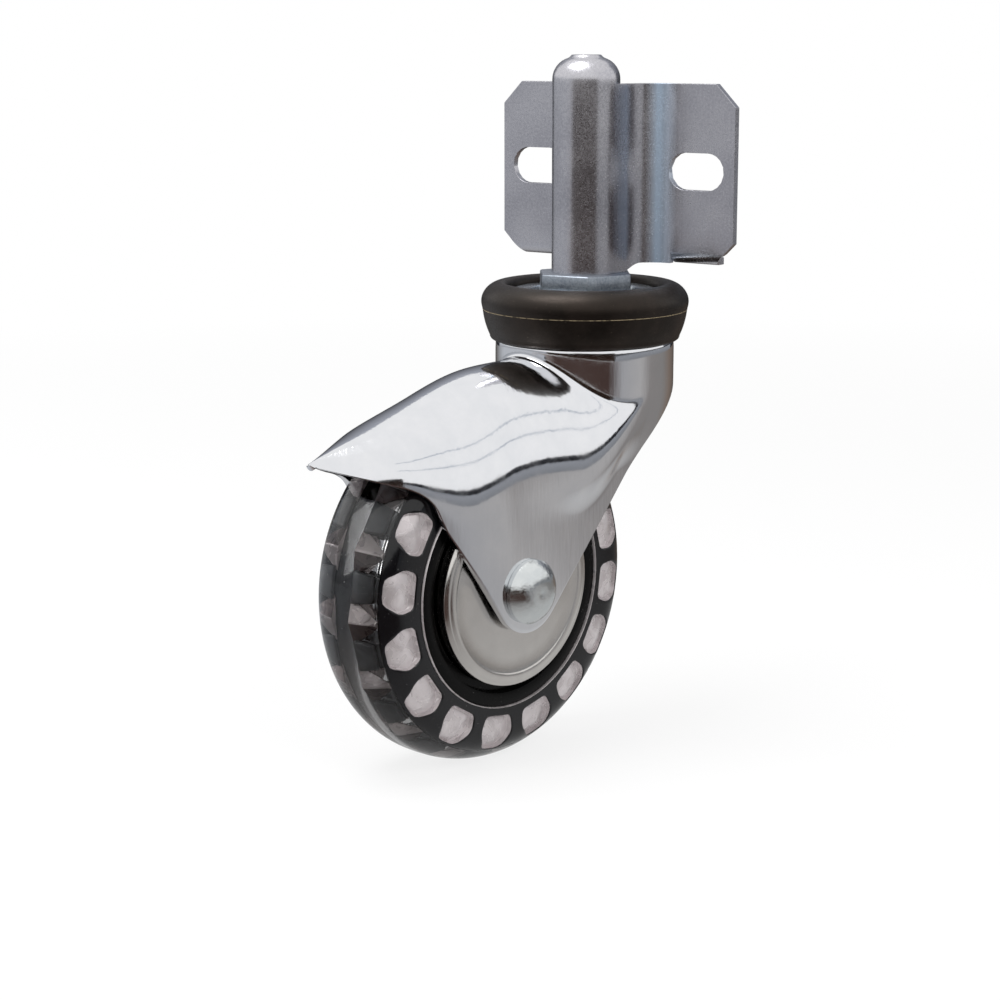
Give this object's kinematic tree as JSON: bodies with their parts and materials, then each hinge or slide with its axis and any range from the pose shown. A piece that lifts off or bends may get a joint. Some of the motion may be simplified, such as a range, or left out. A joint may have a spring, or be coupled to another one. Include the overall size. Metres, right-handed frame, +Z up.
{
  "type": "hooded swivel castor",
  "caption": "Swivel castor with a pressed hood over a soft-tyred wheel, on a zinc side-fixing bracket with a stem pocket, two fixing slots and a rubber bumper ring.",
  "frame": {"origin": "midway between the two fixing slots, on the bracket's back face", "axes": "+Z up along the swivel axis, +Y out of the back face into the panel, +X along the slots"},
  "size_m": [0.0584, 0.098, 0.1429],
  "materials": {
    "zinc": "zinc plated, blue passivated",
    "chrome": "mirror chrome plating on pressed steel",
    "bright_steel": "bright nickel plated steel",
    "bearing_steel": "ground bearing steel",
    "rubber": "moulded black rubber",
    "polyurethane": "smoked translucent polyurethane, glossy",
    "black_plastic": "moulded black polypropylene"
  },
  "bodies": {
    "bracket": {"mounting_bracket": "zinc", "stem": "zinc", "grip_ring": "bearing_steel", "upper_race": "zinc", "lower_race": "zinc"},
    "fork": {"fork_hood": "chrome", "bumper_ring": "rubber", "upper_balls": "bearing_steel", "lower_balls": "bearing_steel", "axle_rivet": "bright_steel", "axle_tube": "bearing_steel", "bearing_spacer": "bearing_steel", "side_washer_right": "bearing_steel", "side_washer_left": "bearing_steel", "bearing_inner_right": "bearing_steel", "bearing_inner_left": "bearing_steel", "bearing_balls_right": "bearing_steel", "bearing_balls_left": "bearing_steel"},
    "wheel": {"wheel_core": "black_plastic", "tyre": "polyurethane", "dust_cap_right": "bright_steel", "dust_cap_left": "bright_steel", "bearing_outer_right": "bearing_steel", "bearing_outer_left": "bearing_steel"}
  },
  "joints": [
    {"name": "swivel", "type": "hinge", "parent": "bracket", "child": "fork", "pos_m": [0, -0.01277, -0.029], "axis": [0, 0, 1], "continuous": true},
    {"name": "wheel_spin", "type": "hinge", "parent": "fork", "child": "wheel", "pos_m": [-0.00502, -0.04559, -0.0815], "axis": [0.9885, -0.1513, 0], "continuous": true}
  ]
}
